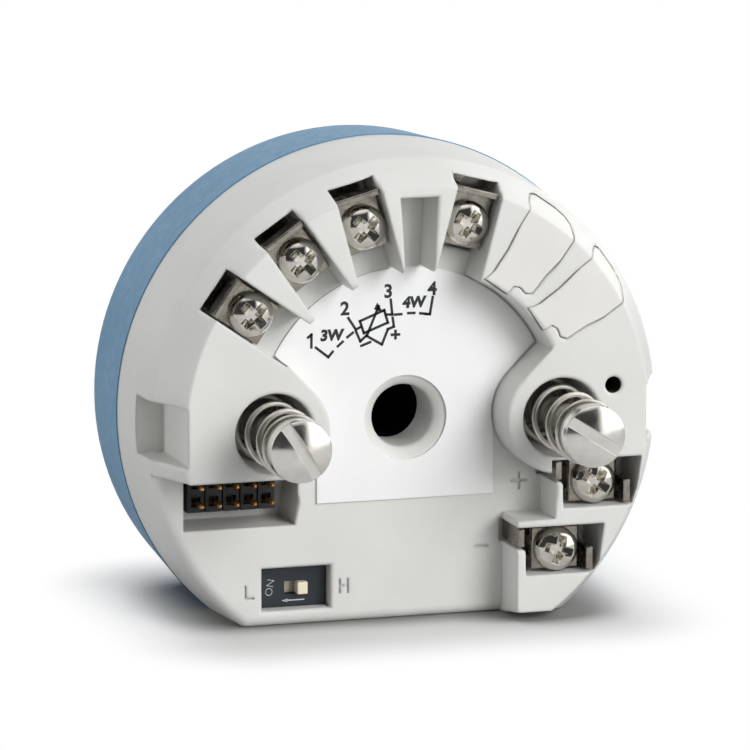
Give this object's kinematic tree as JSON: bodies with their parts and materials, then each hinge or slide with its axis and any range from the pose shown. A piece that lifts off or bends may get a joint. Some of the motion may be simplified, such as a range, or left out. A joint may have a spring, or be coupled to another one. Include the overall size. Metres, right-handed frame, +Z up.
{
  "type": "temperature_transmitter",
  "caption": "Head-mounted temperature transmitter with a light grey cover over a blue cup, screw terminals, spring-loaded mounting screws, a pin header and a slide switch",
  "frame": {"origin": "centre of the central wire bore in the back face of the rear cup", "axes": "-Y points out of the front along the bore, +Y to the back, +Z up from the resting flat, +X to the right seen from the front"},
  "size_m": [0.06, 0.046, 0.0528],
  "materials": {
    "cover": "fine satin",
    "plug": "fine satin",
    "cup": "satin",
    "label": "matt, printed",
    "board": "solder mask",
    "chips": "matt",
    "resin": "matt",
    "black_plastic": "matt",
    "gold": "gold plated",
    "switch": "matt",
    "slider": "matt",
    "nickel": "nickel plated",
    "screw_nickel": "nickel plated",
    "screw_steel": "turned and plated",
    "spring_steel": "drawn wire"
  },
  "bodies": {
    "housing": {"cover": "cover", "base_cup": "cup", "face_label": "label", "main_board": "board", "board_parts": "chips", "transformer": "chips", "potting": "resin", "header_body": "black_plastic", "header_pins": "gold", "switch_body": "switch", "sensor_contacts": "nickel", "power_contacts": "nickel", "blank_plugs": "plug", "mounting_spring_left": "spring_steel", "mounting_spring_right": "spring_steel"},
    "slider": {"switch_slider": "slider"},
    "sensor_clamp_body_1": {"sensor_clamp_1": "nickel"},
    "sensor_screw_body_1": {"sensor_screw_1": "screw_nickel"},
    "sensor_clamp_body_2": {"sensor_clamp_2": "nickel"},
    "sensor_screw_body_2": {"sensor_screw_2": "screw_nickel"},
    "sensor_clamp_body_3": {"sensor_clamp_3": "nickel"},
    "sensor_screw_body_3": {"sensor_screw_3": "screw_nickel"},
    "sensor_clamp_body_4": {"sensor_clamp_4": "nickel"},
    "sensor_screw_body_4": {"sensor_screw_4": "screw_nickel"},
    "power_clamp_body_plus": {"power_clamp_plus": "nickel"},
    "power_screw_body_plus": {"power_screw_plus": "screw_nickel"},
    "power_clamp_body_minus": {"power_clamp_minus": "nickel"},
    "power_screw_body_minus": {"power_screw_minus": "screw_nickel"},
    "washer_body_left": {"screw_washer_left": "nickel"},
    "mounting_screw_body_left": {"mounting_screw_left": "screw_steel", "retaining_ring_left": "spring_steel"},
    "washer_body_right": {"screw_washer_right": "nickel"},
    "mounting_screw_body_right": {"mounting_screw_right": "screw_steel", "retaining_ring_right": "spring_steel"}
  },
  "joints": [
    {"name": "sensor_clamp_travel_1", "type": "slide", "parent": "housing", "child": "sensor_clamp_body_1", "axis": [0, 1, 0], "range_m": [0, 0.0024]},
    {"name": "sensor_screw_turn_1", "type": "hinge", "parent": "sensor_clamp_body_1", "child": "sensor_screw_body_1", "pos_m": [-0.01868, -0.025, 0.01308], "axis": [0, 1, 0], "range_deg": [0, 1728.1]},
    {"name": "sensor_clamp_travel_2", "type": "slide", "parent": "housing", "child": "sensor_clamp_body_2", "axis": [0, 1, 0], "range_m": [0, 0.0024]},
    {"name": "sensor_screw_turn_2", "type": "hinge", "parent": "sensor_clamp_body_2", "child": "sensor_screw_body_2", "pos_m": [-0.01308, -0.025, 0.01868], "axis": [0, 1, 0], "range_deg": [0, 1728.1]},
    {"name": "sensor_clamp_travel_3", "type": "slide", "parent": "housing", "child": "sensor_clamp_body_3", "axis": [0, 1, 0], "range_m": [0, 0.0024]},
    {"name": "sensor_screw_turn_3", "type": "hinge", "parent": "sensor_clamp_body_3", "child": "sensor_screw_body_3", "pos_m": [-0.0059, -0.025, 0.02202], "axis": [0, 1, 0], "range_deg": [0, 1728.1]},
    {"name": "sensor_clamp_travel_4", "type": "slide", "parent": "housing", "child": "sensor_clamp_body_4", "axis": [0, 1, 0], "range_m": [0, 0.0024]},
    {"name": "sensor_screw_turn_4", "type": "hinge", "parent": "sensor_clamp_body_4", "child": "sensor_screw_body_4", "pos_m": [0.0059, -0.025, 0.02202], "axis": [0, 1, 0], "range_deg": [0, 1728.1]},
    {"name": "power_clamp_travel_plus", "type": "slide", "parent": "housing", "child": "power_clamp_body_plus", "axis": [0, 1, 0], "range_m": [0, 0.0024]},
    {"name": "power_screw_turn_plus", "type": "hinge", "parent": "power_clamp_body_plus", "child": "power_screw_body_plus", "pos_m": [0.0207, -0.025, -0.0076], "axis": [0, 1, 0], "range_deg": [0, 1728.1]},
    {"name": "power_clamp_travel_minus", "type": "slide", "parent": "housing", "child": "power_clamp_body_minus", "axis": [0, 1, 0], "range_m": [0, 0.0024]},
    {"name": "power_screw_turn_minus", "type": "hinge", "parent": "power_clamp_body_minus", "child": "power_screw_body_minus", "pos_m": [0.0164, -0.025, -0.015], "axis": [0, 1, 0], "range_deg": [0, 1728.1]},
    {"name": "mounting_press_left", "type": "slide", "parent": "housing", "child": "washer_body_left", "axis": [0, 1, 0], "range_m": [0, 0.0079], "stiffness_N_per_m": 350, "springref_m": -0.002, "deforming": ["mounting_spring_left"]},
    {"name": "mounting_turn_left", "type": "hinge", "parent": "washer_body_left", "child": "mounting_screw_body_left", "pos_m": [-0.0165, -0.03, 0], "axis": [0, 1, 0], "continuous": true},
    {"name": "mounting_press_right", "type": "slide", "parent": "housing", "child": "washer_body_right", "axis": [0, 1, 0], "range_m": [0, 0.009], "stiffness_N_per_m": 350, "springref_m": -0.002, "deforming": ["mounting_spring_right"]},
    {"name": "mounting_turn_right", "type": "hinge", "parent": "washer_body_right", "child": "mounting_screw_body_right", "pos_m": [0.0165, -0.03, 0], "axis": [0, 1, 0], "continuous": true},
    {"name": "switch_slide", "type": "slide", "parent": "housing", "child": "slider", "axis": [-1, 0, 0], "range_m": [0, 0.00125]}
  ],
  "couplings": [
    {"joint": "sensor_screw_turn_1", "follows": "sensor_clamp_travel_1", "rad_per_m": 12566},
    {"joint": "sensor_screw_turn_2", "follows": "sensor_clamp_travel_2", "rad_per_m": 12566},
    {"joint": "sensor_screw_turn_3", "follows": "sensor_clamp_travel_3", "rad_per_m": 12566},
    {"joint": "sensor_screw_turn_4", "follows": "sensor_clamp_travel_4", "rad_per_m": 12566},
    {"joint": "power_screw_turn_plus", "follows": "power_clamp_travel_plus", "rad_per_m": 12566},
    {"joint": "power_screw_turn_minus", "follows": "power_clamp_travel_minus", "rad_per_m": 12566}
  ]
}
